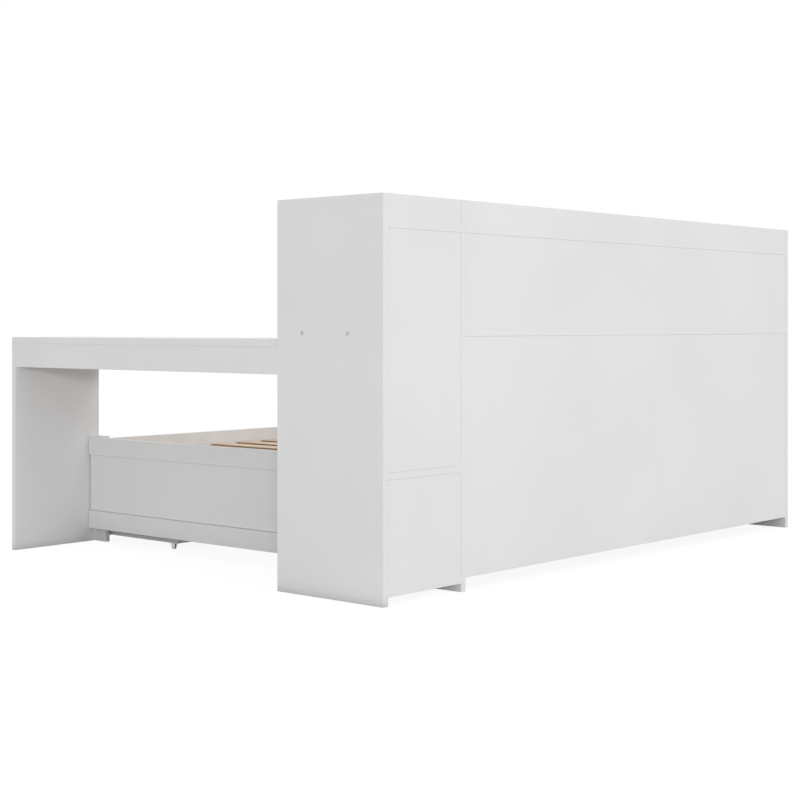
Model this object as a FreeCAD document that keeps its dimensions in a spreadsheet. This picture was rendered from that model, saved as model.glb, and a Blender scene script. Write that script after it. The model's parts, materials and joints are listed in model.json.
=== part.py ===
# A bed with a bookcase along its wall side, a desk across one end and two rolling drawers
# under its open side. Every place is given in three plan distances:
#   along   from the outer edge of the desk towards the far end of the bed (+X)
#   across  from the wall face of the bookcase towards the open side of the bed (+Y)
#   up      from the floor (+Z)
# The origin is on the floor, under the middle of the whole bed.
import FreeCAD
import Part
import Sketcher
import math
import operator
import os

# Driving dimensions: lengths in millimetres, and counts.
sizes = {
    # whole object
    "overall_length": 2308,
    "overall_width": 1709,
    "overall_height": 1130,
    "board": 20,                    # thickness of the carcass and desk boards
    "edge_ease": 0.5,               # bevel on every board edge
    "overrun": 1,                   # how far a cut starts outside the face it enters
    # tall column at the desk corner
    "column_width": 356,
    "column_depth": 412,
    "column_floor_gap": 25,
    "column_shelf_height": 345,     # underside of the middle shelf
    "shelf_height": 736.5,          # underside of the long shelf and of the shelf behind the desk
    "guard_height": 74.5,           # strip that stands on the top shelves
    "back_thickness": 12,
    "back_recess": 0.6,             # back panels lie this far inside the board edges
    "back_gap": 0.25,               # seam above each back panel, and below the upper one of the column
    "back_side_gap": 1,             # seam at each end of a back panel
    # bookcase along the wall
    "bookcase_depth": 265,
    "bookcase_floor_gap": 40,
    "bookcase_bays": 3,
    # desk
    "desk_height": 728,
    "desk_top_thickness": 22,
    "desk_overhang": 0.9,           # the desk top stands this far out over the front apron
    "apron_height": 80,
    "desk_end_gap": 1.5,            # seam between the desk top and the column
    # framed boards that close both ends of the bed
    "end_rail_thickness": 28,
    "end_lap": 30,                  # the end board at the desk lies this far along the column's inner side
    "upper_rail_height": 60,
    "lower_rail_height": 63.2,
    "end_rail_floor_gap": 46.8,
    "bed_end_height": 369,
    "panel_thickness": 12,
    "panel_recess": 7.5,
    "panel_reveal": 1.8,            # open slot between the panel and the lower rail
    "panel_reveal_depth": 5,
    "groove_depth": 8,
    "groove_clearance": 0.3,
    "end_board_gap": 4,             # from the end board to the leg panel of the desk
    "stile_width": 64,
    # posts and front rail on the open side
    "post_thickness": 16,
    "post_width": 66,
    "post_rise": 5.7,               # the corner post stands this far above the end rails
    "middle_post_width": 16,
    "front_rail_top": 361,
    "front_rail_depth": 108,
    # slatted base
    "slat_height": 315,             # top face of the slats
    "slat_thickness": 15,
    "slat_width": 68,
    "slat_count": 15,
    "slat_start_gap": 8,            # from the column to the first slat
    "slat_end_gap": 3,
    "slat_ease": 2,
    "ledger": 30,
    "beam_width": 45,
    "beam_height": 60,
    "leg_width": 40,
    "leg_count": 3,
    "leg_inset": 300,
    # countersunk screws that hold the slats
    "screw_diameter": 4,
    "screw_head_diameter": 8,
    "screw_length": 34,
    "screw_tip": 5,
    "screw_cross": 4.4,             # cross recess for the driver: length, width and depth of its arms
    "screw_cross_width": 1,
    "screw_cross_depth": 1.8,
    "screw_clearance": 0.1,
    # flat headed bolts and barrel nuts of the shelf behind the desk
    "bolt_diameter": 6,
    "bolt_head_diameter": 14,
    "bolt_head_height": 2.4,
    "bolt_past_nut": 8,             # from the middle of the nut to the bolt's end
    "bolt_inset": 134,              # first bolt, from the wall face
    "bolt_spacing": 178,
    "bolt_socket": 4,               # across the flats of the key socket
    "bolt_socket_depth": 1.6,
    "bolt_clearance": 0.15,
    "nut_diameter": 10,
    "nut_length": 14,
    "nut_inset": 28,                # from the end of the shelf
    # dowels that carry the desk aprons
    "dowel_diameter": 8,
    "dowel_length": 30,
    "dowel_spacing": 40,
    "dowel_bevel": 1,
    "dowel_clearance": 0.1,
    # rolling drawers
    "drawer_gap": 3,                # round the drawer fronts
    "drawer_depth": 431,
    "drawer_post_gap": 3,           # from a drawer side to the middle post
    "drawer_wall": 12,
    "drawer_box_height": 168,
    "drawer_bottom": 6,
    "drawer_bottom_rise": 12,
    "drawer_groove": 6,
    "notch_width": 110,             # finger notch in the top edge of each front
    "notch_depth": 24,
    # castors under the drawers
    "wheel_diameter": 18,
    "wheel_width": 5.6,
    "wheel_bevel": 1,
    "wheel_rim": 2.5,
    "wheel_web": 3,
    "wheel_top_gap": 1.8,           # between the wheel and the plate of its fork
    "hub_diameter": 8,
    "hub_proud": 0.4,               # the hub stands this far out of the rim on each side
    "axle_diameter": 4,
    "axle_clearance": 0.08,
    "rivet_lip": 1,
    "rivet_height": 1,
    "fork_clearance": 0.3,
    "fork_wall": 1.5,
    "fork_boss": 16,
    "fork_cheek": 18,
    "fork_plate": 44,
    "castor_gap": 1,                # from a fork's plate to the end of the drawer side
    "castor_screw_diameter": 3,
    "castor_screw_head_diameter": 6,
    "castor_screw_head_height": 1.6,
    "castor_screw_bite": 10,
    "castor_screw_edge": 6,
}

doc = FreeCAD.newDocument("bed_with_desk")
sheet = doc.addObject("Spreadsheet::Sheet", "Sizes")
for row, (name, value) in enumerate(sizes.items(), 1):
    sheet.set(f"A{row}", name)
    sheet.set(f"B{row}", str(value))
    sheet.setAlias(f"B{row}", name)
doc.recompute()

actions = {"+": operator.add, "-": operator.sub, "*": operator.mul, "/": operator.truediv}


class Size:
    # A length or count: the spreadsheet expression that gives it, and its present value.
    def __init__(self, text, value):
        self.text = text
        self.value = value

    def __add__(self, other):
        return combine(self, "+", other)

    def __radd__(self, other):
        return combine(other, "+", self)

    def __sub__(self, other):
        return combine(self, "-", other)

    def __rsub__(self, other):
        return combine(other, "-", self)

    def __mul__(self, other):
        return combine(self, "*", other)

    def __rmul__(self, other):
        return combine(other, "*", self)

    def __truediv__(self, other):
        return combine(self, "/", other)

    def __neg__(self):
        return combine(0, "-", self)


class Cells:
    # The sheet's cells by alias, so that s.board is the Size of the cell called board.
    def __getattr__(self, alias):
        return Size(f"Sizes.{alias}", float(sheet.get(alias)))


def asSize(value):
    return value if isinstance(value, Size) else Size(repr(value), value)


def combine(left, sign, right):
    left = asSize(left)
    right = asSize(right)
    return Size(f"({left.text} {sign} {right.text})", actions[sign](left.value, right.value))


s = Cells()
nodes = []
origins = {}


def originFeature(body, role):
    return next(item for item in body.Origin.OriginFeatures if item.Role == role)


def newBody(label, along, across, up):
    # An empty body whose own origin is at the given plan distances.
    body = doc.addObject("PartDesign::Body", label)
    body.Label = label
    place = (asSize(along), asSize(across), asSize(up))
    origins[label] = place
    body.setExpression("Placement.Base.x", (place[0] - s.overall_length / 2).text)
    body.setExpression("Placement.Base.y", (place[1] - s.overall_width / 2).text)
    body.setExpression("Placement.Base.z", place[2].text)
    return body


def newSketch(body, label, role, offset):
    sketch = body.newObject("Sketcher::SketchObject", label)
    sketch.AttachmentSupport = [(originFeature(body, role), "")]
    sketch.MapMode = "FlatFace"
    sketch.setExpression("AttachmentOffset.Base.z", asSize(offset).text)
    return sketch


def drive(sketch, constraint, size):
    index = sketch.addConstraint(constraint)
    sketch.setExpression(f"Constraints[{index}]", size.text)


def lockPoint(sketch, curve, end, x, y):
    drive(sketch, Sketcher.Constraint("DistanceX", -1, 1, curve, end, x.value), x)
    drive(sketch, Sketcher.Constraint("DistanceY", -1, 1, curve, end, y.value), y)


def outline(body, label, role, points, offset=0):
    # A closed outline of straight lines, with every corner driven by the sheet.
    sketch = newSketch(body, label, role, offset)
    corners = [(asSize(x), asSize(y)) for x, y in points]
    count = len(corners)
    vectors = [FreeCAD.Vector(x.value, y.value, 0) for x, y in corners]
    for index in range(count):
        sketch.addGeometry(Part.LineSegment(vectors[index], vectors[(index + 1) % count]))
    for index in range(count):
        sketch.addConstraint(Sketcher.Constraint("Coincident", index, 2, (index + 1) % count, 1))
    for index, (x, y) in enumerate(corners):
        lockPoint(sketch, index, 1, x, y)
    return sketch


def circles(body, label, role, centres, diameter, offset=0):
    sketch = newSketch(body, label, role, offset)
    for index, (x, y) in enumerate(centres):
        x = asSize(x)
        y = asSize(y)
        centre = FreeCAD.Vector(x.value, y.value, 0)
        sketch.addGeometry(Part.Circle(centre, FreeCAD.Vector(0, 0, 1), diameter.value / 2))
        drive(sketch, Sketcher.Constraint("Diameter", index, diameter.value), diameter)
        lockPoint(sketch, index, 3, x, y)
    return sketch


def pad(body, label, sketch, length, midplane=False):
    feature = body.newObject("PartDesign::Pad", label)
    feature.Profile = sketch
    feature.SideType = "Symmetric" if midplane else "One side"
    feature.setExpression("Length", length.text)
    return feature


def pocket(body, label, sketch, length, midplane=False):
    # A cut away from the sketch's normal, tested to have taken material off.
    doc.recompute()
    before = body.Shape.Volume
    feature = body.newObject("PartDesign::Pocket", label)
    feature.Profile = sketch
    feature.SideType = "Symmetric" if midplane else "One side"
    feature.setExpression("Length", length.text)
    doc.recompute()
    if not body.Shape.Volume < before:
        raise RuntimeError(f"{label} cuts nothing")
    return feature


def bevelAll(body, label, size):
    base = body.Tip
    feature = body.newObject("PartDesign::Chamfer", label)
    feature.Base = (base, [""])
    feature.UseAllEdges = True
    feature.setExpression("Size", size.text)


def repeat(body, label, axis, spacing, count, feature=None):
    # Copies of the whole body, or of one of its features, along a body axis.
    original = feature or body.Tip
    pattern = body.newObject("PartDesign::LinearPattern", label)
    pattern.Originals = [original]
    pattern.TransformMode = "Features" if feature else "Whole shape"
    pattern.Direction = (originFeature(body, axis), [""])
    pattern.setExpression("Length", ((count - 1) * spacing).text)
    pattern.setExpression("Occurrences", asSize(count).text)
    body.Tip = pattern


def keep(item):
    nodes.append(item)
    return item


def board(label, along, across, up, ease=None):
    # A flat board between two distances in each direction, with eased edges.
    along = (asSize(along[0]), asSize(along[1]))
    across = (asSize(across[0]), asSize(across[1]))
    up = (asSize(up[0]), asSize(up[1]))
    body = newBody(label, along[0], across[0], up[0])
    length = along[1] - along[0]
    width = across[1] - across[0]
    corners = [(0, 0), (length, 0), (length, width), (0, width)]
    sketch = outline(body, f"{label}_outline", "XY_Plane", corners)
    pad(body, f"{label}_pad", sketch, up[1] - up[0])
    bevelAll(body, f"{label}_ease", ease or s.edge_ease)
    return keep(body)


def cutBox(body, label, along, across, up):
    # A rectangular cut between two plan distances in each direction.
    origin = origins[body.Label]
    x = [asSize(value) - origin[0] for value in along]
    y = [asSize(value) - origin[1] for value in across]
    z = [asSize(value) - origin[2] for value in up]
    corners = [(x[0], y[0]), (x[1], y[0]), (x[1], y[1]), (x[0], y[1])]
    sketch = outline(body, f"{label}_outline", "XY_Plane", corners, z[1])
    return pocket(body, label, sketch, z[1] - z[0])


def drillAlong(body, label, centres, diameter, start, end):
    # Holes parallel to X; centres are (across, up).
    origin = origins[body.Label]
    places = [(across - origin[1], up - origin[2]) for across, up in centres]
    sketch = circles(body, f"{label}_outline", "YZ_Plane", places, diameter, asSize(end) - origin[0])
    return pocket(body, label, sketch, asSize(end) - start)


def drillAcross(body, label, centres, diameter, start, end):
    # Holes parallel to Y; centres are (along, up).
    origin = origins[body.Label]
    places = [(along - origin[0], up - origin[2]) for along, up in centres]
    sketch = circles(body, f"{label}_outline", "XZ_Plane", places, diameter, origin[1] - start)
    return pocket(body, label, sketch, asSize(end) - start)


def drillUp(body, label, centres, diameter, start, end):
    # Holes parallel to Z; centres are (along, across).
    origin = origins[body.Label]
    places = [(along - origin[0], across - origin[1]) for along, across in centres]
    sketch = circles(body, f"{label}_outline", "XY_Plane", places, diameter, asSize(end) - origin[2])
    return pocket(body, label, sketch, asSize(end) - start)


def turned(label, place, axis, profile):
    # A turned piece: profile gives (distance along its axis, radius) from the place.
    body = newBody(label, *place)
    if axis == "X":
        points = profile
    else:
        points = [(radius, distance) for distance, radius in profile]
    sketch = outline(body, f"{label}_outline", "XZ_Plane" if axis == "Z" else "XY_Plane", points)
    feature = body.newObject("PartDesign::Revolution", f"{label}_turn")
    feature.Profile = sketch
    feature.ReferenceAxis = (sketch, ["H_Axis" if axis == "X" else "V_Axis"])
    feature.Angle = 360
    return body


# Levels and faces that several pieces share.
bedSide = s.column_width
farInner = s.overall_length - s.board
topUnder = s.overall_height - s.guard_height - s.board
topFace = s.overall_height - s.guard_height
shelfTop = s.shelf_height + s.board
shelfMiddle = s.shelf_height + s.board / 2
columnInside = (s.board, bedSide - s.board)
bookcaseInside = (bedSide, farInner)
backLayer = (s.back_recess, s.back_recess + s.back_thickness)
frontInner = s.overall_width - s.board
endInner = bedSide - s.board
farRailInner = s.overall_length - s.end_rail_thickness
endLapEdge = s.column_depth - s.end_lap
deskUnder = s.desk_height - s.desk_top_thickness
aprons = {"desk_front_apron": (s.desk_overhang, s.desk_overhang + s.board),
          "desk_rear_apron": (bedSide - s.board, bedSide)}
slatUnder = s.slat_height - s.slat_thickness
frontRailUnder = s.front_rail_top - s.front_rail_depth
bedMiddle = (bedSide + farRailInner) / 2


def inset(span, gap):
    return (span[0] + gap, span[1] - gap)


def boltPlaces():
    return [(s.bolt_inset, shelfMiddle), (s.bolt_inset + s.bolt_spacing, shelfMiddle)]


def nutPlaces():
    return inset(columnInside, s.nut_inset)


def apronDowels(apron):
    # Where the dowels of one apron lie: (along, up) for each.
    along = (aprons[apron][0] + aprons[apron][1]) / 2
    middle = deskUnder - s.apron_height / 2
    return [(along, middle - s.dowel_spacing / 2), (along, middle + s.dowel_spacing / 2)]


boltLength = s.board + s.nut_inset + s.bolt_past_nut
dowelHole = s.dowel_diameter + 2 * s.dowel_clearance
dowelReach = s.dowel_length / 2 + s.dowel_clearance


def columnSide(label, along, up, headFace, apron):
    # One tall side of the column, bored for the shelf bolts and the dowels of an apron.
    side = board(label, along, (0, s.column_depth), up)
    shank = s.bolt_diameter + 2 * s.bolt_clearance
    head = s.bolt_head_diameter + 2 * s.bolt_clearance
    drillAlong(side, f"{label}_bolt_holes", boltPlaces(), shank, along[0] - s.overrun, along[1] + s.overrun)
    if headFace == "outer":
        seat = (along[0] - s.overrun, along[0] + s.bolt_head_height)
    else:
        seat = (along[1] - s.bolt_head_height, along[1] + s.overrun)
    drillAlong(side, f"{label}_bolt_seats", boltPlaces(), head, *seat)
    drillAcross(side, f"{label}_dowel_holes", apronDowels(apron), dowelHole,
                s.column_depth - dowelReach, s.column_depth + s.overrun)


def makeColumn():
    columnSide("column_outer_side", (asSize(0), s.board), (0, s.overall_height), "outer", "desk_front_apron")
    columnSide("column_inner_side", (endInner, bedSide), (0, topUnder), "inner", "desk_rear_apron")
    depth = (0, s.column_depth)
    bottomTop = s.column_floor_gap + s.board
    middleTop = s.column_shelf_height + s.board
    board("column_bottom", columnInside, depth, (s.column_floor_gap, bottomTop))
    board("column_middle_shelf", columnInside, (0, endLapEdge), (s.column_shelf_height, middleTop))
    board("column_top_shelf", (s.board, bedSide), depth, (topUnder, topFace))
    board("top_tray_divider", (bedSide - s.board, bedSide), depth, (topFace, s.overall_height))
    panel = inset(columnInside, s.back_side_gap)
    board("column_top_guard", panel, backLayer, (topFace, s.overall_height))
    board("column_back_upper", panel, backLayer, (middleTop + s.back_gap, topUnder - s.back_gap))
    board("column_back_lower", panel, backLayer, (bottomTop, s.column_shelf_height - s.back_gap))
    makeDeskShelf()


def makeDeskShelf():
    # The shelf behind the desk is drawn to both column sides by bolts in barrel nuts.
    shelf = board("column_desk_shelf", columnInside, (backLayer[1], s.column_depth),
                  (s.shelf_height, shelfTop))
    shank = s.bolt_diameter + 2 * s.bolt_clearance
    depth = boltLength - s.board + s.bolt_clearance
    drillAlong(shelf, "near_bolt_holes", boltPlaces(), shank, s.board - s.overrun, s.board + depth)
    farEnd = bedSide - s.board
    drillAlong(shelf, "far_bolt_holes", boltPlaces(), shank, farEnd - depth, farEnd + s.overrun)
    nutHole = s.nut_diameter + 2 * s.bolt_clearance
    centres = [(along, across) for along in nutPlaces() for across, up in boltPlaces()]
    drillUp(shelf, "nut_holes", centres, nutHole, s.shelf_height - s.overrun,
            shelfMiddle + s.nut_length / 2 + s.bolt_clearance)
    makeShelfBolts()
    makeBarrelNuts()


def makeShelfBolts():
    radius = s.bolt_diameter / 2
    headRadius = s.bolt_head_diameter / 2
    half = s.column_width / 2
    profile = [(-half, 0), (-half, headRadius), (s.bolt_head_height - half, headRadius),
               (s.bolt_head_height - half, radius), (boltLength - half, radius), (boltLength - half, 0)]
    bolt = turned("shelf_bolts", (half, s.bolt_inset, shelfMiddle), "X", profile)
    corner = s.bolt_socket / math.sqrt(3)
    turns = [math.radians(60 * index) for index in range(6)]
    points = [(corner * math.cos(turn), corner * math.sin(turn)) for turn in turns]
    socket = outline(bolt, "socket_outline", "YZ_Plane", points, s.bolt_socket_depth - half)
    pocket(bolt, "socket", socket, s.bolt_socket_depth + s.overrun)
    repeat(bolt, "bolt_pair", "Y_Axis", s.bolt_spacing, 2)
    original = bolt.Tip
    mirrored = bolt.newObject("PartDesign::Mirrored", "bolts_other_side")
    mirrored.Originals = [original]
    mirrored.TransformMode = "Whole shape"
    mirrored.MirrorPlane = (originFeature(bolt, "YZ_Plane"), [""])
    bolt.Tip = mirrored
    keep(bolt)


def makeBarrelNuts():
    radius = s.nut_diameter / 2
    half = s.nut_length / 2
    profile = [(-half, 0), (-half, radius), (half, radius), (half, 0)]
    near, far = nutPlaces()
    nut = turned("shelf_barrel_nuts", (near, s.bolt_inset, shelfMiddle), "Z", profile)
    hole = circles(nut, "thread_outline", "YZ_Plane", [(0, 0)], s.bolt_diameter + 2 * s.bolt_clearance)
    pocket(nut, "thread", hole, s.nut_diameter + s.overrun, midplane=True)
    repeat(nut, "nut_pair", "Y_Axis", s.bolt_spacing, 2)
    repeat(nut, "nuts_both_ends", "X_Axis", far - near, 2)
    keep(nut)


def makeBookcase():
    depth = (0, s.bookcase_depth)
    board("bookcase_end_side", (farInner, s.overall_length), depth, (0, s.overall_height))
    board("bookcase_shelf", bookcaseInside, depth, (s.shelf_height, shelfTop))
    board("bookcase_top_shelf", bookcaseInside, depth, (topUnder, topFace))
    panel = inset(bookcaseInside, s.back_side_gap)
    board("bookcase_top_guard", panel, backLayer, (topFace, s.overall_height))
    board("bookcase_back_upper", panel, backLayer, (shelfTop, topUnder - s.back_gap))
    board("bookcase_back_lower", panel, backLayer, (s.bookcase_floor_gap, s.shelf_height - s.back_gap))
    board("backrest_panel", bookcaseInside, (s.bookcase_depth - s.board, s.bookcase_depth),
          (s.bookcase_floor_gap, s.shelf_height))
    dividers = s.bookcase_bays - 1
    bay = (farInner - bedSide - dividers * s.board) / s.bookcase_bays
    first = bedSide + bay
    divider = board("bookcase_dividers", (first, first + s.board), (backLayer[1], s.bookcase_depth),
                    (shelfTop, topUnder))
    repeat(divider, "divider_row", "X_Axis", bay + s.board, dividers)


def makeDesk():
    apronLevel = (deskUnder - s.apron_height, deskUnder)
    board("desk_top", (0, s.column_width), (s.column_depth + s.desk_end_gap, frontInner),
          (deskUnder, s.desk_height))
    leg = board("desk_leg_panel", (0, s.column_width), (frontInner, s.overall_width), (0, s.desk_height))
    middles = []
    for label, along in aprons.items():
        apron = board(label, along, (s.column_depth, frontInner), apronLevel)
        centres = apronDowels(label)
        drillAcross(apron, f"{label}_column_holes", centres, dowelHole,
                    s.column_depth - s.overrun, s.column_depth + dowelReach)
        drillAcross(apron, f"{label}_leg_holes", centres, dowelHole,
                    frontInner - dowelReach, frontInner + s.overrun)
        middles += centres
    drillAcross(leg, "leg_dowel_holes", middles, dowelHole, frontInner - s.overrun, frontInner + dowelReach)
    half = s.dowel_length / 2
    radius = s.dowel_diameter / 2
    profile = [(-half, 0), (-half, radius - s.dowel_bevel), (s.dowel_bevel - half, radius),
               (half - s.dowel_bevel, radius), (half, radius - s.dowel_bevel), (half, 0)]
    along, low = apronDowels("desk_front_apron")[0]
    dowel = turned("desk_dowels", (along, s.column_depth, low), "Y", profile)
    repeat(dowel, "dowel_pair", "Z_Axis", s.dowel_spacing, 2)
    repeat(dowel, "dowels_both_aprons", "X_Axis", apronDowels("desk_rear_apron")[0][0] - along, 2)
    repeat(dowel, "dowels_both_ends", "Y_Axis", frontInner - s.column_depth, 2)
    keep(dowel)


def makeEndBoard(prefix, along, panelAlong, reveal, across):
    # Two rails with a panel held in their grooves; reveal is the layer cut off the panel's lower edge.
    upperUnder = s.bed_end_height - s.upper_rail_height
    lowerTop = s.end_rail_floor_gap + s.lower_rail_height
    upper = board(f"{prefix}_upper_rail", along, across, (upperUnder, s.bed_end_height))
    lower = board(f"{prefix}_lower_rail", along, across, (s.end_rail_floor_gap, lowerTop))
    groove = (panelAlong[0] - s.groove_clearance, panelAlong[1] + s.groove_clearance)
    reach = (across[0] - s.overrun, across[1] + s.overrun)
    cutBox(upper, f"{prefix}_upper_groove", groove, reach,
           (upperUnder - s.overrun, upperUnder + s.groove_depth))
    cutBox(lower, f"{prefix}_lower_groove", groove, reach,
           (lowerTop - s.groove_depth, lowerTop + s.overrun))
    tongue = s.groove_depth - s.groove_clearance
    panel = board(f"{prefix}_panel", panelAlong, inset(across, s.groove_clearance),
                  (lowerTop - tongue, upperUnder + tongue))
    cutBox(panel, f"{prefix}_reveal", reveal, reach,
           (lowerTop - tongue - s.overrun, lowerTop + s.panel_reveal))


def makeBedEnds():
    outer = endInner - s.end_rail_thickness
    face = outer + s.panel_recess
    makeEndBoard("desk_end", (outer, endInner), (face, face + s.panel_thickness),
                 (face - s.overrun, face + s.panel_reveal_depth),
                 (endLapEdge, frontInner - s.end_board_gap))
    stile = s.overall_width - s.stile_width
    farFace = s.overall_length - s.panel_recess
    makeEndBoard("far_end", (farRailInner, s.overall_length), (farFace - s.panel_thickness, farFace),
                 (farFace - s.panel_reveal_depth, farFace + s.overrun), (s.bookcase_depth, stile))
    board("far_end_stile", (farRailInner, s.overall_length), (stile, s.overall_width), (0, s.bed_end_height))


def makeOpenSide():
    posts = (frontInner - s.post_width, frontInner)
    board("corner_post", (endInner, endInner + s.post_thickness), posts,
          (0, s.bed_end_height + s.post_rise))
    half = s.middle_post_width / 2
    board("middle_post", (bedMiddle - half, bedMiddle + half), posts, (0, slatUnder - s.ledger))
    board("front_rail", (bedSide, farRailInner), (frontInner, s.overall_width),
          (frontRailUnder, s.front_rail_top))


def screwProfile(clearance):
    # Half section of a countersunk screw, from the middle of its head down to its tip.
    radius = s.screw_diameter / 2 + clearance
    head = s.screw_head_diameter / 2 + clearance
    length = s.screw_length + clearance
    return [(0, 0), (0, head), (radius - head, radius), (s.screw_tip - length, radius), (-length, 0)]


def makeSlats():
    first = bedSide + s.slat_start_gap
    pitch = (farRailInner - s.slat_end_gap - s.slat_width - first) / (s.slat_count - 1)
    ledgers = [s.bookcase_depth, frontInner - s.ledger]
    ledgerSpacing = ledgers[1] - ledgers[0]
    screwAlong = first + s.slat_width / 2
    screwAcross = ledgers[0] + s.ledger / 2
    ledger = board("slat_ledgers", (bedSide, farRailInner), (ledgers[0], ledgers[0] + s.ledger),
                   (slatUnder - s.ledger, slatUnder))
    hole = s.screw_diameter + 2 * s.screw_clearance
    pilot = drillUp(ledger, "pilot_hole", [(screwAlong, screwAcross)], hole,
                    s.slat_height - s.screw_length - s.screw_clearance, slatUnder + s.overrun)
    repeat(ledger, "pilot_holes", "X_Axis", pitch, s.slat_count, pilot)
    repeat(ledger, "ledger_pair", "Y_Axis", ledgerSpacing, 2)

    slatAcross = inset((s.bookcase_depth, frontInner), s.slat_end_gap)
    slat = board("slats", (first, first + s.slat_width), slatAcross, (slatUnder, s.slat_height), s.slat_ease)
    origin = origins["slats"]
    for number, across in enumerate((screwAcross, screwAcross + ledgerSpacing), 1):
        points = [(screwAlong - origin[0] + radius, s.slat_thickness + distance)
                  for distance, radius in screwProfile(s.screw_clearance)]
        sketch = outline(slat, f"screw_hole_{number}_outline", "XZ_Plane", points, origin[1] - across)
        middle = s.slat_width / 2
        low = FreeCAD.Vector(middle.value, 0, 0)
        high = FreeCAD.Vector(middle.value, s.slat_thickness.value, 0)
        axis = sketch.addGeometry(Part.LineSegment(low, high))
        sketch.toggleConstruction(axis)
        lockPoint(sketch, axis, 1, middle, asSize(0))
        lockPoint(sketch, axis, 2, middle, s.slat_thickness)
        doc.recompute()
        before = slat.Shape.Volume
        feature = slat.newObject("PartDesign::Groove", f"screw_hole_{number}")
        feature.Profile = sketch
        feature.ReferenceAxis = (sketch, ["Axis0"])
        feature.Angle = 360
        doc.recompute()
        if not slat.Shape.Volume < before:
            raise RuntimeError(f"screw hole {number} cuts nothing")
    repeat(slat, "slat_row", "X_Axis", pitch, s.slat_count)

    screw = turned("slat_screws", (screwAlong, screwAcross, s.slat_height), "Z", screwProfile(asSize(0)))
    arm = s.screw_cross / 2
    half = s.screw_cross_width / 2
    quarter = [(half, half), (half, arm), (-half, arm)]
    points = quarter + [(-y, x) for x, y in quarter]
    points += [(-x, -y) for x, y in points]
    cross = outline(screw, "screw_cross_outline", "XY_Plane", points)
    pocket(screw, "screw_cross", cross, s.screw_cross_depth)
    repeat(screw, "screw_row", "X_Axis", pitch, s.slat_count)
    repeat(screw, "screw_rows", "Y_Axis", ledgerSpacing, 2)
    keep(screw)

    middle = (s.bookcase_depth + frontInner) / 2
    beamUnder = slatUnder - s.beam_height
    beamAlong = inset((bedSide, farRailInner), s.slat_end_gap)
    beamHalf = s.beam_width / 2
    legHalf = s.leg_width / 2
    board("centre_beam", beamAlong, (middle - beamHalf, middle + beamHalf), (beamUnder, slatUnder))
    firstLeg = bedSide + s.leg_inset
    lastLeg = farRailInner - s.leg_inset - s.leg_width
    leg = board("centre_legs", (firstLeg, firstLeg + s.leg_width),
                (middle - legHalf, middle + legHalf), (0, beamUnder))
    repeat(leg, "leg_row", "X_Axis", (lastLeg - firstLeg) / (s.leg_count - 1), s.leg_count)


def makeDrawer(prefix, front):
    # One rolling drawer; front gives the near and far edges of its front board.
    side = inset(front, s.middle_post_width / 2 - s.drawer_gap / 2 + s.drawer_post_gap)
    inside = inset(side, s.drawer_wall)
    back = s.overall_width - s.drawer_depth
    low = plateTop
    high = low + s.drawer_box_height
    bottomLevel = (low + s.drawer_bottom_rise, low + s.drawer_bottom_rise + s.drawer_bottom)
    grooveLevel = (bottomLevel[0] - s.groove_clearance, bottomLevel[1] + s.groove_clearance)
    grooveInside = (inside[0] - s.drawer_groove, inside[1] + s.drawer_groove)
    backInner = back + s.drawer_wall

    frontTop = frontRailUnder - s.drawer_gap
    face = board(f"{prefix}_front", front, (frontInner, s.overall_width), (low, frontTop))
    cutBox(face, f"{prefix}_front_groove", grooveInside,
           (frontInner - s.overrun, frontInner + s.drawer_groove), grooveLevel)
    notchRadius = (s.notch_width * s.notch_width / 4 + s.notch_depth * s.notch_depth) / (2 * s.notch_depth)
    notchCentre = ((front[0] + front[1]) / 2, frontTop - s.notch_depth + notchRadius)
    drillAcross(face, f"{prefix}_notch", [notchCentre], 2 * notchRadius,
                frontInner - s.overrun, s.overall_width + s.overrun)

    length = (back, frontInner)
    grooveLength = (backInner - s.drawer_groove, frontInner + s.overrun)
    near = board(f"{prefix}_near_side", (side[0], inside[0]), length, (low, high))
    cutBox(near, f"{prefix}_near_groove", (grooveInside[0], inside[0] + s.overrun), grooveLength, grooveLevel)
    far = board(f"{prefix}_far_side", (inside[1], side[1]), length, (low, high))
    cutBox(far, f"{prefix}_far_groove", (inside[1] - s.overrun, grooveInside[1]), grooveLength, grooveLevel)
    rear = board(f"{prefix}_back", inside, (back, backInner), (low, high))
    cutBox(rear, f"{prefix}_back_groove", (inside[0] - s.overrun, inside[1] + s.overrun),
           (backInner - s.drawer_groove, backInner + s.overrun), grooveLevel)
    tongue = s.drawer_groove - s.groove_clearance
    board(f"{prefix}_bottom", (inside[0] - tongue, inside[1] + tongue),
          (backInner - tongue, frontInner + tongue), bottomLevel)
    half = s.drawer_wall / 2
    makeCastors(prefix, [(near, side[0] + half), (far, side[1] - half)], length)


hubWidth = s.wheel_width + 2 * s.hub_proud
forkInner = hubWidth + 2 * s.fork_clearance
forkOuter = forkInner + 2 * s.fork_wall
wheelRadius = s.wheel_diameter / 2
plateTop = s.wheel_diameter + s.wheel_top_gap + s.fork_wall


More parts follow.
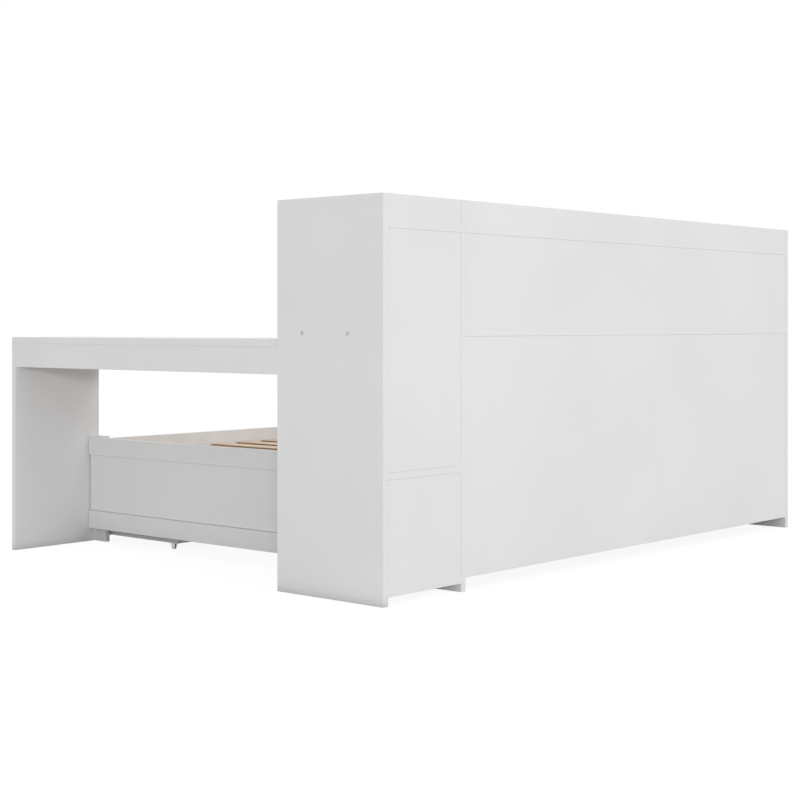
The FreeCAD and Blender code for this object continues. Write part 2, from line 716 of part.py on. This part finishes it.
def makeCastors(prefix, walls, length):
    # Four fixed castors: riveted forks, screwed up into the drawer's side walls, and their wheels.
    wheelAlong = [along for wall, along in walls]
    wheelAcross = inset(length, s.castor_gap + s.fork_plate / 2)
    spacingAlong = wheelAlong[1] - wheelAlong[0]
    spacingAcross = wheelAcross[1] - wheelAcross[0]
    place = (wheelAlong[0], wheelAcross[0], wheelRadius)

    def fourTimes(body):
        repeat(body, f"{body.Label}_across", "Y_Axis", spacingAcross, 2)
        repeat(body, f"{body.Label}_along", "X_Axis", spacingAlong, 2)

    rise = plateTop - wheelRadius
    plateHalf = s.fork_plate / 2
    cheekHalf = s.fork_cheek / 2
    bossRadius = s.fork_boss / 2
    plateUnder = rise - s.fork_wall
    fork = newBody(f"{prefix}_castor_forks", *place)
    profile = [(-plateHalf, rise), (-plateHalf, plateUnder), (-cheekHalf, plateUnder), (-bossRadius, 0),
               (bossRadius, 0), (cheekHalf, plateUnder), (plateHalf, plateUnder), (plateHalf, rise)]
    sketch = outline(fork, f"{prefix}_fork_outline", "YZ_Plane", profile)
    pad(fork, f"{prefix}_fork", sketch, forkOuter, midplane=True)
    boss = circles(fork, f"{prefix}_boss_outline", "YZ_Plane", [(0, 0)], s.fork_boss)
    pad(fork, f"{prefix}_boss", boss, forkOuter, midplane=True)
    gap = [(-plateHalf, plateUnder), (-plateHalf, -s.fork_boss),
           (plateHalf, -s.fork_boss), (plateHalf, plateUnder)]
    gapSketch = outline(fork, f"{prefix}_gap_outline", "YZ_Plane", gap)
    pocket(fork, f"{prefix}_gap", gapSketch, forkInner, midplane=True)
    axleHole = s.axle_diameter + 2 * s.axle_clearance
    pinSketch = circles(fork, f"{prefix}_pin_outline", "YZ_Plane", [(0, 0)], axleHole)
    pocket(fork, f"{prefix}_pin_holes", pinSketch, forkOuter + s.overrun, midplane=True)
    screwReach = plateHalf - s.castor_screw_edge
    screwHole = s.castor_screw_diameter + 2 * s.screw_clearance
    holeSketch = circles(fork, f"{prefix}_screw_outline", "XY_Plane", [(0, -screwReach), (0, screwReach)],
                         screwHole, rise + s.overrun)
    pocket(fork, f"{prefix}_screw_holes", holeSketch, s.fork_wall + 2 * s.overrun)
    fourTimes(fork)

    axle = s.axle_diameter / 2
    rivet = axle + s.rivet_lip
    shoulder = forkOuter / 2
    tip = shoulder + s.rivet_height
    pinProfile = [(-tip, 0), (-tip, rivet), (-shoulder, rivet), (-shoulder, axle),
                  (shoulder, axle), (shoulder, rivet), (tip, rivet), (tip, 0)]
    pin = turned(f"{prefix}_castor_pins", place, "X", pinProfile)
    fourTimes(pin)

    bite = s.castor_screw_diameter / 2
    headRadius = s.castor_screw_head_diameter / 2
    headUnder = plateUnder - s.castor_screw_head_height
    screwTop = rise + s.castor_screw_bite
    screwShape = [(headUnder, 0), (headUnder, headRadius), (plateUnder, headRadius),
                  (plateUnder, bite), (screwTop, bite), (screwTop, 0)]
    screw = turned(f"{prefix}_castor_screws", (place[0], place[1] - screwReach, place[2]), "Z", screwShape)
    repeat(screw, f"{prefix}_screw_pair", "Y_Axis", 2 * screwReach, 2)
    fourTimes(screw)

    for wall, along in walls:
        centres = [(along, across + offset) for across in wheelAcross for offset in (-screwReach, screwReach)]
        drillUp(wall, f"{wall.Label}_castor_holes", centres, screwHole, plateTop - s.overrun,
                plateTop + s.castor_screw_bite + s.screw_clearance)

    castors = doc.addObject("Part::Compound", f"{prefix}_castors")
    castors.Label = f"{prefix}_castors"
    castors.Links = [fork, pin, screw]
    keep(castors)

    for sideName, along in zip(("near", "far"), wheelAlong):
        for endName, across in zip(("back", "front"), wheelAcross):
            makeWheel(f"{prefix}_wheel_{endName}_{sideName}", (along, across, wheelRadius))


def makeWheel(label, place):
    bore = s.axle_diameter / 2 + s.axle_clearance
    hub = s.hub_diameter / 2
    hubHalf = hubWidth / 2
    webHalf = s.wheel_web / 2
    rimHalf = s.wheel_width / 2
    rimInner = wheelRadius - s.wheel_rim
    shoulder = wheelRadius - s.wheel_bevel
    halfProfile = [(hubHalf, bore), (hubHalf, hub), (webHalf, hub), (webHalf, rimInner),
                   (rimHalf, rimInner), (rimHalf, shoulder), (rimHalf - s.wheel_bevel, wheelRadius)]
    profile = halfProfile + [(-distance, radius) for distance, radius in reversed(halfProfile)]
    keep(turned(label, place, "X", profile))


makeColumn()
makeBookcase()
makeDesk()
makeBedEnds()
makeOpenSide()
makeSlats()
makeDrawer("desk_drawer", (bedSide + s.drawer_gap, bedMiddle - s.drawer_gap / 2))
makeDrawer("far_drawer", (bedMiddle + s.drawer_gap / 2, farRailInner - s.drawer_gap))

doc.recompute()
for item in doc.Objects:
    if "Invalid" in item.State or "Error" in item.State:
        raise RuntimeError(f"{item.Label} failed: {item.State}")
for node in nodes:
    if node.Shape.isNull() or not node.Shape.isValid():
        raise RuntimeError(f"{node.Label} has no valid shape")

os.makedirs("parts", exist_ok=True)
for node in nodes:
    node.Shape.exportStep(f"parts/{node.Label}.step")
    print(node.Label, len(node.Shape.Solids), round(node.Shape.Volume / 1000), "cm3")
print(len(nodes), "pieces written")
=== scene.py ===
import json
import math
import bmesh
import bpy
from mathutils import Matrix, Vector


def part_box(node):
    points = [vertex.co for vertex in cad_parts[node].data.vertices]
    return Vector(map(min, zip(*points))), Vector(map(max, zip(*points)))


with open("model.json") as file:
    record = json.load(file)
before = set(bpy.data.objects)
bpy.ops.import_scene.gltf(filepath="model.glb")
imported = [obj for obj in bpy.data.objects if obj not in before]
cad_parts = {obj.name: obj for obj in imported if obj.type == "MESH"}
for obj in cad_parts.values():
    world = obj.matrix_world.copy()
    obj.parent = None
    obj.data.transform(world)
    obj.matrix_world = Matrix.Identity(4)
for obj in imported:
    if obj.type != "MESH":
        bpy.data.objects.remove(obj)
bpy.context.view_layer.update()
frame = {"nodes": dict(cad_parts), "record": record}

nodes = frame["nodes"]
slotOf = {row["node"]: row["material_slot"] for row in frame["record"]["subparts"]}
scene = bpy.context.scene
scene.view_settings.view_transform = "Standard"
alongX, alongY, alongZ = range(3)
middle = 0.5                                   # where a noise adds nothing
print("frame loaded:", len(nodes), "pieces")


class Value:                                   # one output socket, with arithmetic on it
    def __init__(self, finish, socket):
        self.finish = finish
        self.socket = socket

    def calc(self, operation, first, second=0.0):
        return self.finish.node("ShaderNodeMath", {"operation": operation}, {0: first, 1: second})

    def __add__(self, other):
        return self.calc("ADD", self, other)

    def __radd__(self, other):
        return self.calc("ADD", other, self)

    def __sub__(self, other):
        return self.calc("SUBTRACT", self, other)

    def __rsub__(self, other):
        return self.calc("SUBTRACT", other, self)

    def __mul__(self, other):
        return self.calc("MULTIPLY", self, other)

    def __rmul__(self, other):
        return self.calc("MULTIPLY", other, self)

    def __truediv__(self, other):
        return self.calc("DIVIDE", self, other)

    def __abs__(self):
        return self.calc("ABSOLUTE", self)

    def __pow__(self, other):
        return self.calc("POWER", self, other)

    def __gt__(self, other):
        return self.calc("GREATER_THAN", self, other)

    def __lt__(self, other):
        return self.calc("LESS_THAN", self, other)

    def most(self, other):                     # the larger of the two
        return self.calc("MAXIMUM", self, other)


class Finish:                                  # a material or a world that is written node by node
    def __init__(self, owner):
        owner.use_nodes = True
        self.owner = owner
        self.tree = owner.node_tree
        self.tree.nodes.clear()

    def node(self, kind, settings=None, inputs=None, out=0):
        made = self.tree.nodes.new(kind)
        for key, value in (settings or {}).items():
            setattr(made, key, value)
        for key, value in (inputs or {}).items():
            if isinstance(value, Value):
                self.tree.links.new(value.socket, made.inputs[key])
            else:
                made.inputs[key].default_value = value
        return Value(self, made.outputs[out]) if len(made.outputs) else None

    def objectPlace(self):
        return self.node("ShaderNodeTexCoord", out="Object")

    def scaled(self, place, stretch):
        return self.node("ShaderNodeMapping", None, {"Vector": place, "Scale": stretch})

    def noise(self, place, scale, detail=2.0, roughness=0.5):
        inputs = {"Vector": place, "Scale": scale, "Detail": detail, "Roughness": roughness}
        return self.node("ShaderNodeTexNoise", None, inputs)

    def cells(self, place, scale, out="Distance"):
        return self.node("ShaderNodeTexVoronoi", None, {"Vector": place, "Scale": scale}, out)

    def smooth(self, value, band):
        inputs = {"Value": value, "From Min": band[0], "From Max": band[1]}
        return self.node("ShaderNodeMapRange", {"interpolation_type": "SMOOTHSTEP"}, inputs)

    def mix(self, share, first, second, blend="MIX"):
        settings = {"data_type": "RGBA", "blend_type": blend}
        inputs = {0: share, 6: first, 7: second}   # the colour sockets, which share their names with others
        return self.node("ShaderNodeMix", settings, inputs, out=2)

    def parts(self, vector):                   # the three numbers of a vector
        split = self.node("ShaderNodeSeparateXYZ", None, {"Vector": vector}).socket.node
        return [Value(self, output) for output in split.outputs]

    def normal(self):                          # which way the face looks
        return self.parts(self.node("ShaderNodeNewGeometry", out="True Normal"))

    def surface(self, colour, roughness, height, look, metallic=0.0):
        bump = {"Height": height, "Strength": look["bumpStrength"], "Distance": look["bumpDepth"]}
        inputs = {"Base Color": colour, "Roughness": roughness, "Metallic": metallic,
                  "Specular IOR Level": look["specular"], "Normal": self.node("ShaderNodeBump", None, bump)}
        shader = self.node("ShaderNodeBsdfPrincipled", None, inputs)
        self.node("ShaderNodeOutputMaterial", None, {"Surface": shader})
        return self.owner


def newFinish(name):
    return Finish(bpy.data.materials.new(name))


def tone(colour, level):
    return tuple(part * level for part in colour[:3]) + (1.0,)


def stretched(axis, share):                    # coordinates drawn out along one axis
    return tuple(share if index == axis else 1.0 for index in range(3))


# White lacquered boards
lacquer = {
    "colour": (0.88, 0.88, 0.88, 1.0),
    "cloudScale": 2.2,                         # broad clouds in the coat
    "cloudDetail": 3.0,
    "cloudBand": (0.3, 0.7),
    "cloudLevel": 0.965,
    "edgeBand": (0.75, 0.97),                  # how squarely a face has to look along an axis
    "edgeLevel": 0.95,                         # the coat is thinner on the eased edges
    "edgeMix": 0.8,
    "nibScale": 90.0,                          # specks caught in the coat
    "nibSize": 0.04,
    "nibLevel": 0.80,
    "nibMix": 0.5,
    "peelScale": 420.0,
    "rollerScale": 800.0,                      # fine lines left by the roller
    "rollerDetail": 1.0,
    "rollerStretch": 0.015,
    "roughness": 0.52,
    "cloudRough": 0.12,
    "rollerRough": 0.10,
    "edgeRough": -0.06,
    "peelHeight": 0.6,
    "rollerHeight": 0.4,
    "nibHeight": 0.3,
    "specular": 0.35,
    "bumpStrength": 0.10,
    "bumpDepth": 0.0004,
}


def whiteLacquer(axis):
    look = lacquer
    white = look["colour"]
    finish = newFinish("whiteLacquer" + "XYZ"[axis])
    place = finish.objectPlace()
    cloud = finish.noise(place, look["cloudScale"], look["cloudDetail"])
    peel = finish.noise(place, look["peelScale"])
    drawn = finish.scaled(place, stretched(axis, look["rollerStretch"]))
    roller = finish.noise(drawn, look["rollerScale"], look["rollerDetail"])
    nib = finish.cells(place, look["nibScale"]) < look["nibSize"]
    x, y, z = [abs(side) for side in finish.normal()]
    edge = 1.0 - finish.smooth(x.most(y).most(z), look["edgeBand"])
    colour = finish.mix(finish.smooth(cloud, look["cloudBand"]), tone(white, look["cloudLevel"]), white)
    colour = finish.mix(edge * look["edgeMix"], colour, tone(white, look["edgeLevel"]))
    colour = finish.mix(nib * look["nibMix"], colour, tone(white, look["nibLevel"]))
    roughness = look["roughness"] + (cloud - middle) * look["cloudRough"]
    roughness = roughness + (roller - middle) * look["rollerRough"] + edge * look["edgeRough"]
    height = peel * look["peelHeight"] + roller * look["rollerHeight"] + nib * look["nibHeight"]
    return finish.surface(colour, roughness, height, look)


# Bare planed pine of the slats, ledgers, beam and legs
pine = {
    "light": (0.80, 0.625, 0.475, 1.0),
    "dark": (0.62, 0.44, 0.30, 1.0),
    "knot": (0.23, 0.115, 0.05, 1.0),
    "sawnAndShaded": (0.42, 0.36, 0.29, 1.0),           # end grain darkens by this, and it paints shade on the long side faces of lying pieces
    "sawnAndShadedBand": (0.55, 0.95),
    "sawnAndShadedMix": 0.9,
    "boardShift": (7.0, 11.0, 5.0),            # each board is cut from another place in the tree
    "boardScale": 0.3,                         # lone boards take their chance from a broad noise
    "boardBand": (0.0, 1.0),
    "boardMix": 0.22,
    "ringsPerMetre": 65.0,
    "ringTilt": 0.6,
    "ringWarp": 14.0,
    "ringTurn": 20.0,
    "ringPower": 1.8,
    "ringMix": 0.62,
    "warpScale": 9.0,
    "warpDetail": 3.0,
    "warpRoughness": 0.45,
    "warpShare": 0.10,                         # how much shorter the pattern is along the grain
    "fibreScale": 900.0,
    "fibreShare": 0.012,
    "fibreMix": 0.5,
    "knotScale": 4.5,
    "knotShare": 0.45,
    "knotBand": (0.035, 0.075),
    "knotMix": 0.8,
    "roughness": 0.56,
    "fibreRough": 0.25,
    "sawnRough": 0.15,
    "knotRough": -0.12,
    "fibreHeight": 0.7,
    "ringHeight": 0.3,
    "specular": 0.25,
    "bumpStrength": 0.35,
    "bumpDepth": 0.0004,
}


def boardChance(finish, place, step, start):   # one number for each board of a row
    if not step:
        return finish.noise(place, pine["boardScale"], 0.0)
    along = finish.parts(place)[alongX]
    number = along.calc("FLOOR", (along - start) / step)
    return finish.node("ShaderNodeTexWhiteNoise", {"noise_dimensions": "1D"}, {"W": number}, out="Value")


def pineWood(name, axis, step=0.0, start=0.0):
    look = pine
    finish = newFinish(name)
    place = finish.objectPlace()
    chance = boardChance(finish, place, step, start)
    x, y, z = [chance * distance for distance in look["boardShift"]]
    shift = finish.node("ShaderNodeCombineXYZ", None, {0: x, 1: y, 2: z})
    moved = finish.node("ShaderNodeVectorMath", {"operation": "ADD"}, {0: place, 1: shift})
    drawn = finish.scaled(moved, stretched(axis, look["warpShare"]))
    warp = finish.noise(drawn, look["warpScale"], look["warpDetail"], look["warpRoughness"])
    parts = finish.parts(place)
    del parts[axis]
    across = parts[0] + parts[1] * look["ringTilt"]
    phase = across * (look["ringsPerMetre"] * math.tau) + warp * look["ringWarp"] + chance * look["ringTurn"]
    rings = ((phase.calc("SINE", phase) + 1.0) / 2.0) ** look["ringPower"]
    fibre = finish.noise(finish.scaled(moved, stretched(axis, look["fibreShare"])), look["fibreScale"])
    knots = finish.cells(finish.scaled(moved, stretched(axis, look["knotShare"])), look["knotScale"])
    knot = 1.0 - finish.smooth(knots, look["knotBand"])
    upward = abs(finish.normal()[alongZ])
    # lying pieces: every face that doesn't look up or down, which is end grain plus painted shade on the
    # long sides; upright legs: end grain
    sawnAndShaded = finish.smooth(upward if axis == alongZ else 1.0 - upward, look["sawnAndShadedBand"])
    grain = rings * look["ringMix"] + (fibre - middle) * look["fibreMix"]
    colour = finish.mix(grain, look["light"], look["dark"])
    colour = finish.mix(finish.smooth(chance, look["boardBand"]) * look["boardMix"], colour, look["dark"])
    colour = finish.mix(knot * look["knotMix"], colour, look["knot"])
    # painted shade darkens the long side faces, together with the real darker end grain
    sawnAndShadedTone = finish.mix(1.0, colour, look["sawnAndShaded"], "MULTIPLY")
    colour = finish.mix(sawnAndShaded * look["sawnAndShadedMix"], colour, sawnAndShadedTone)
    roughness = look["roughness"] + (fibre - middle) * look["fibreRough"]
    roughness = roughness + sawnAndShaded * look["sawnRough"] + knot * look["knotRough"]
    height = fibre * look["fibreHeight"] + rings * look["ringHeight"] + sawnAndShaded * fibre
    return finish.surface(colour, roughness, height, look)


# Zinc plated fasteners and castor forks
zinc = {
    "colour": (0.63, 0.63, 0.64, 1.0),
    "dullLevel": 0.78,
    "spangleScale": 260.0,
    "spangleMix": 0.5,
    "bloomScale": 60.0,
    "bloomDetail": 3.0,
    "bloomMix": 0.4,
    "scratchScale": 700.0,
    "scratchShare": 0.06,
    "metallic": 1.0,
    "roughness": 0.34,
    "spangleRough": 0.12,
    "scratchRough": 0.16,
    "specular": 0.5,
    "bumpStrength": 0.12,
    "bumpDepth": 0.0001,
}


def zincSteel():
    look = zinc
    finish = newFinish("zincSteel")
    place = finish.objectPlace()
    patch = finish.parts(finish.cells(place, look["spangleScale"], "Color"))[0]
    drawn = finish.scaled(place, stretched(alongY, look["scratchShare"]))
    scratch = finish.noise(drawn, look["scratchScale"])
    bloom = finish.noise(place, look["bloomScale"], look["bloomDetail"])
    dull = patch * look["spangleMix"] + bloom * look["bloomMix"]
    colour = finish.mix(dull, look["colour"], tone(look["colour"], look["dullLevel"]))
    roughness = look["roughness"] + (patch - middle) * look["spangleRough"]
    roughness = roughness + (scratch - middle) * look["scratchRough"]
    return finish.surface(colour, roughness, scratch, look, look["metallic"])


# Moulded grey castor wheels
wheelGrey = {
    "colour": (0.18, 0.18, 0.185, 1.0),
    "scuffScale": 130.0,
    "scuffDetail": 4.0,
    "scuffRoughness": 0.7,
    "scuffBand": (0.55, 0.75),
    "scuffLevel": 0.72,
    "scuffMix": 0.7,
    "grainScale": 1400.0,
    "roughness": 0.50,
    "scuffRough": 0.18,
    "grainRough": 0.10,
    "specular": 0.5,
    "bumpStrength": 0.15,
    "bumpDepth": 0.0001,
}


def wheelPlastic():
    look = wheelGrey
    finish = newFinish("wheelPlastic")
    place = finish.objectPlace()
    grain = finish.noise(place, look["grainScale"])
    scuffs = finish.noise(place, look["scuffScale"], look["scuffDetail"], look["scuffRoughness"])
    scuff = finish.smooth(scuffs, look["scuffBand"])
    colour = finish.mix(scuff * look["scuffMix"], look["colour"], tone(look["colour"], look["scuffLevel"]))
    roughness = look["roughness"] + scuff * look["scuffRough"] + (grain - middle) * look["grainRough"]
    return finish.surface(colour, roughness, grain, look)


# Thin drawer bottoms, white above and bare fibre below
fibreboard = {
    "white": (0.76, 0.76, 0.755, 1.0),
    "upperFrom": 0.5,                          # a face that looks up by more than this is white
    "fibre": (0.34, 0.235, 0.15, 1.0),
    "fleck": (0.22, 0.14, 0.085, 1.0),
    "fleckScale": 420.0,
    "fleckDetail": 4.0,
    "fleckRoughness": 0.7,
    "fleckShare": 0.3,
    "fleckBand": (0.42, 0.62),
    "paperScale": 500.0,
    "paperHeight": 0.2,
    "roughness": 0.80,
    "paperRough": -0.35,
    "fleckRough": 0.10,
    "specular": 0.5,
    "bumpStrength": 0.25,
    "bumpDepth": 0.0003,
}


def thinBoard():
    look = fibreboard
    finish = newFinish("thinBoard")
    place = finish.objectPlace()
    drawn = finish.scaled(place, stretched(alongY, look["fleckShare"]))
    flecks = finish.noise(drawn, look["fleckScale"], look["fleckDetail"], look["fleckRoughness"])
    paper = finish.noise(place, look["paperScale"])
    upper = finish.normal()[alongZ] > look["upperFrom"]
    bare = finish.mix(finish.smooth(flecks, look["fleckBand"]), look["fibre"], look["fleck"])
    colour = finish.mix(upper, bare, look["white"])
    roughness = look["roughness"] + upper * look["paperRough"] + (flecks - middle) * look["fleckRough"]
    height = flecks * (1.0 - upper) + paper * look["paperHeight"]
    return finish.surface(colour, roughness, height, look)


slatRow = {"count": 15, "width": 0.068}        # the slats are one node, so the row is given here


def pineFinishes():
    low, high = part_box("slats")
    step = (high.x - low.x - slatRow["width"]) / (slatRow["count"] - 1)
    start = low.x - (step - slatRow["width"]) / 2
    lengthwise = pineWood("pineLengthwise", alongX)
    return {"slats": pineWood("pineSlats", alongY, step, start), "slat_ledgers": lengthwise,
            "centre_beam": lengthwise, "centre_legs": pineWood("pineUpright", alongZ)}


def setFinishes():
    boardFinish = [whiteLacquer(axis) for axis in range(3)]
    slotFinish = {"zinc_steel": zincSteel(), "wheel_plastic": wheelPlastic(), "thin_board": thinBoard(),
                  "beech": pineWood("beechDowel", alongY)}
    nodeFinish = pineFinishes()
    for name, piece in nodes.items():
        low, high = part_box(name)
        size = high - low
        longest = max(range(3), key=lambda axis: size[axis])
        finish = nodeFinish.get(name) or slotFinish.get(slotOf[name]) or boardFinish[longest]
        piece.data.materials.clear()
        piece.data.materials.append(finish)


setFinishes()
print("finishes set")


# Floor, light and camera
studio = {
    "floorSize": 60.0,
    "floorColour": (0.65, 0.65, 0.65, 1.0),
    "floorGlow": 0.92,                         # how much of the floor's white is the backdrop's own
    "floorShade": (0.14, 0.14, 0.14, 1.0),     # the share of it that takes shadow
    "paintedShadeColour": (0.03, 0.03, 0.03, 1.0),    # painted shade: the floor's bounce colour is made dark under and close to the boards
    "white": (1.0, 1.0, 1.0, 1.0),
    "worldLevel": 0.685,
    "backdropLevel": 1.0,
}


def lookRay(finish):                           # 1 for what the camera, a reflection or clear glass sees
    paths = ["Is Camera Ray", "Is Glossy Ray", "Is Transmission Ray"]
    direct, glossy, clear = [finish.node("ShaderNodeLightPath", out=path) for path in paths]
    return direct.most(glossy).most(clear)


paintedShadePatches = [                                 # floor patches whose bounce colour gets painted shade: from one piece to another, and how far out past them
    {"first": "desk_leg_panel", "last": "desk_leg_panel", "reach": 0.02},
    {"first": "column_outer_side", "last": "column_outer_side", "reach": 0.02},
    {"first": "desk_end_lower_rail", "last": "far_end_stile", "reach": 0.05},
]


def paintedShadeShare(finish):                        # 1 where the floor's bounce gets painted shade, under and close to the boards, 0 elsewhere
    x, y = finish.parts(finish.objectPlace())[:2]
    share = 0.0
    for patch in paintedShadePatches:
        reach = Vector((patch["reach"], patch["reach"], 0.0))
        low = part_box(patch["first"])[0] - reach
        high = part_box(patch["last"])[1] + reach
        inside = (x > low.x) * (x < high.x) * (y > low.y) * (y < high.y)
        share = inside.most(share)
    return share


def makeFloor():
    finish = newFinish("paleFloor")
    # painted shade: the floor throws back less light under and close to the boards
    bounceWithPaintedShade = finish.mix(paintedShadeShare(finish), studio["floorColour"], studio["paintedShadeColour"])
    plain = finish.node("ShaderNodeBsdfDiffuse", None, {"Color": bounceWithPaintedShade})
    shade = finish.node("ShaderNodeBsdfDiffuse", None, {"Color": studio["floorShade"]})
    glow = finish.node("ShaderNodeEmission", None, {"Strength": studio["floorGlow"]})
    white = finish.node("ShaderNodeAddShader", None, {0: shade, 1: glow})
    shader = finish.node("ShaderNodeMixShader", None, {0: lookRay(finish), 1: plain, 2: white})
    finish.node("ShaderNodeOutputMaterial", None, {"Surface": shader})
    sheet = bmesh.new()
    bmesh.ops.create_grid(sheet, x_segments=1, y_segments=1, size=studio["floorSize"] / 2)
    mesh = bpy.data.meshes.new("floor")
    sheet.to_mesh(mesh)
    sheet.free()
    mesh.materials.append(finish.owner)
    floor = bpy.data.objects.new("floor", mesh)
    scene.collection.objects.link(floor)


def makeWorld():
    scene.world = bpy.data.worlds.new("studioWhite")
    finish = Finish(scene.world)
    backdrop = {"Color": studio["white"]}
    light = finish.node("ShaderNodeBackground", None, {**backdrop, "Strength": studio["worldLevel"]})
    white = finish.node("ShaderNodeBackground", None, {**backdrop, "Strength": studio["backdropLevel"]})
    shader = finish.node("ShaderNodeMixShader", None, {0: lookRay(finish), 1: light, 2: white})
    finish.node("ShaderNodeOutputWorld", None, {"Surface": shader})


lamps = {
    "wallSide": {"place": (1.0, -10.0, 8.8), "aim": (0.1, 0.3, 0.4), "size": (8.0, 7.0), "power": 300.0},
    "cameraSide": {"place": (-9.6, -8.4, 2.2), "aim": (-0.3, 0.2, 0.4), "size": (2.5, 1.2), "power": 265.0},
    "openSide": {"place": (6.5, 9.0, 5.5), "aim": (0.0, 0.2, 0.4), "size": (8.0, 6.0), "power": 80.0},
}


def makeLamp(name, values):
    data = bpy.data.lights.new(name, "AREA")
    data.shape = "RECTANGLE"
    data.size, data.size_y = values["size"]
    data.energy = values["power"]
    lamp = bpy.data.objects.new(name, data)
    lamp.location = values["place"]
    line = Vector(values["aim"]) - Vector(values["place"])
    lamp.rotation_euler = line.to_track_quat("-Z", "Y").to_euler()
    scene.collection.objects.link(lamp)


camera = {
    "place": (-4.3842, -3.7506, 0.7684),
    "tilt": 90.0,                              # degrees up from looking straight down
    "turn": -48.719,                           # degrees from looking along +Y
    "sensorWidth": 36.0,
    "focalPixels": 1595.0,
    "imagePixels": 800.0,
    "horizonPixel": 325.33,                    # row of the level line in the picture
}


def makeCamera():
    data = bpy.data.cameras.new("camera")
    data.sensor_width = camera["sensorWidth"]
    data.lens = camera["sensorWidth"] * camera["focalPixels"] / camera["imagePixels"]
    data.shift_y = (camera["horizonPixel"] - camera["imagePixels"] / 2) / camera["imagePixels"]
    data.dof.use_dof = False
    view = bpy.data.objects.new("camera", data)
    view.location = camera["place"]
    view.rotation_euler = (math.radians(camera["tilt"]), 0.0, math.radians(camera["turn"]))
    scene.collection.objects.link(view)
    scene.camera = view


makeFloor()
makeWorld()
for lampName, lampValues in lamps.items():
    makeLamp(lampName, lampValues)
makeCamera()
print("studio ready")
